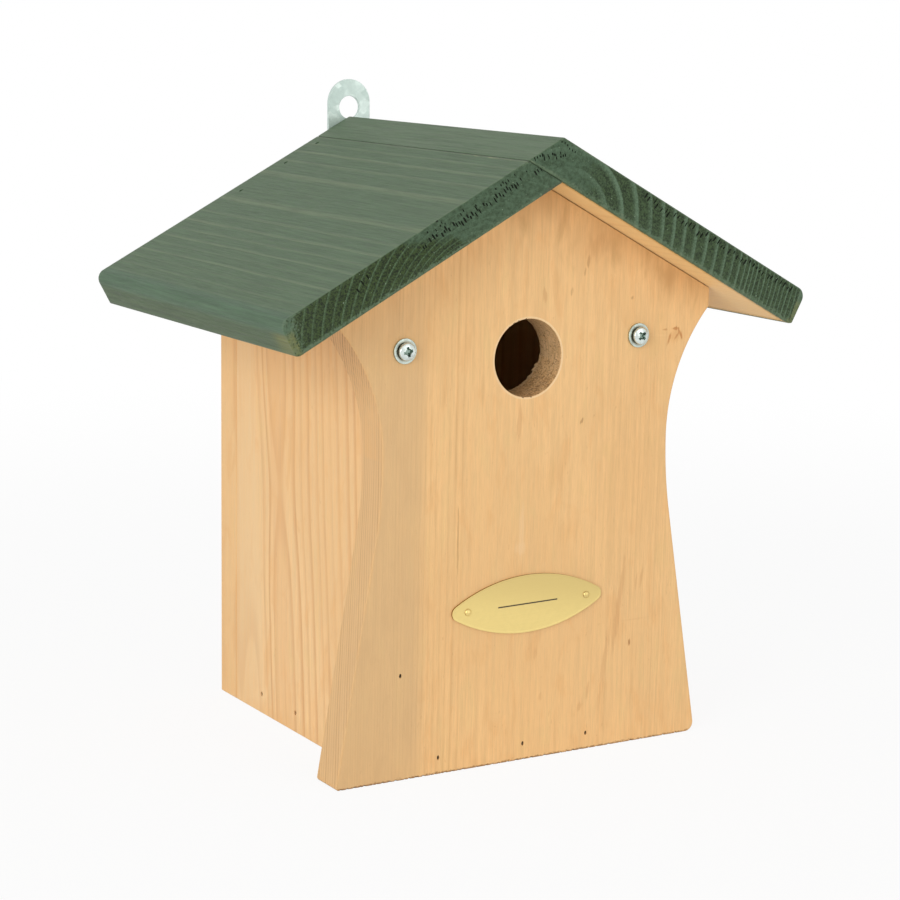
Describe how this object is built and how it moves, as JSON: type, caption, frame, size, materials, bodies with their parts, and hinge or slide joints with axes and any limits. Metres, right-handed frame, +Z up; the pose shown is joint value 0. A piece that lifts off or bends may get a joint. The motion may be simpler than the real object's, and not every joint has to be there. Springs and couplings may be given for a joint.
{
  "type": "birdhouse",
  "caption": "Wooden nest box with a pitched green roof, a round entrance hole in a waisted front board that lifts off when its screws are undone, and a steel strip to hang it by.",
  "frame": {"origin": "on the surface that the box stands on, under the middle of the overall box", "axes": "+Z up, +Y to the back (towards the wall), +X to the right of someone who faces the entrance hole"},
  "size_m": [0.2462, 0.1784, 0.2765],
  "materials": {
    "box_pine": "planed softwood, clear, with warm growth lines",
    "front_pine": "planed softwood, fine upright grain",
    "green_roof": "green opaque stain on top, edges and ends, bare wood underneath",
    "galvanised_strip": "hot-dip galvanised, dull, mottled",
    "zinc_screw": "bright zinc plated",
    "zinc_washer": "zinc plated, stamped",
    "brass_plate": "satin brass",
    "brass_pin": "polished brass",
    "steel_nail": "dark bright-drawn steel"
  },
  "bodies": {
    "house": {"floor_panel": "box_pine", "back_panel": "box_pine", "left_side_panel": "box_pine", "right_side_panel": "box_pine", "left_roof_board": "green_roof", "right_roof_board": "green_roof", "hanging_bracket": "galvanised_strip", "upper_bracket_screw": "zinc_screw", "lower_bracket_screw": "zinc_screw", "left_floor_nails": "steel_nail", "right_floor_nails": "steel_nail", "back_floor_nails": "steel_nail", "left_back_nails": "steel_nail", "right_back_nails": "steel_nail", "left_roof_nails": "steel_nail", "right_roof_nails": "steel_nail"},
    "front": {"front_panel": "front_pine", "name_plate": "brass_plate", "left_plate_pin": "brass_pin", "right_plate_pin": "brass_pin", "front_floor_pins": "steel_nail", "left_front_side_pin": "steel_nail", "right_front_side_pin": "steel_nail"},
    "left_washer": {"left_front_washer": "zinc_washer"},
    "left_screw": {"left_front_screw": "zinc_screw"},
    "right_washer": {"right_front_washer": "zinc_washer"},
    "right_screw": {"right_front_screw": "zinc_screw"}
  },
  "joints": [
    {"name": "front_slide", "type": "slide", "parent": "house", "child": "front", "axis": [0, -1, 0], "range_m": [0, 0.1]},
    {"name": "left_screw_advance", "type": "slide", "parent": "front", "child": "left_washer", "axis": [0, -1, 0], "range_m": [0, 0.014]},
    {"name": "left_screw_turn", "type": "hinge", "parent": "left_washer", "child": "left_screw", "pos_m": [-0.0595, -0.0688, 0.17624], "axis": [0, -1, 0], "range_deg": [0, 3600]},
    {"name": "right_screw_advance", "type": "slide", "parent": "front", "child": "right_washer", "axis": [0, -1, 0], "range_m": [0, 0.014]},
    {"name": "right_screw_turn", "type": "hinge", "parent": "right_washer", "child": "right_screw", "pos_m": [0.0525, -0.0688, 0.17624], "axis": [0, -1, 0], "range_deg": [0, 3600]}
  ],
  "couplings": [
    {"joint": "left_screw_turn", "follows": "left_screw_advance", "rad_per_m": 4488},
    {"joint": "right_screw_turn", "follows": "right_screw_advance", "rad_per_m": 4488}
  ]
}
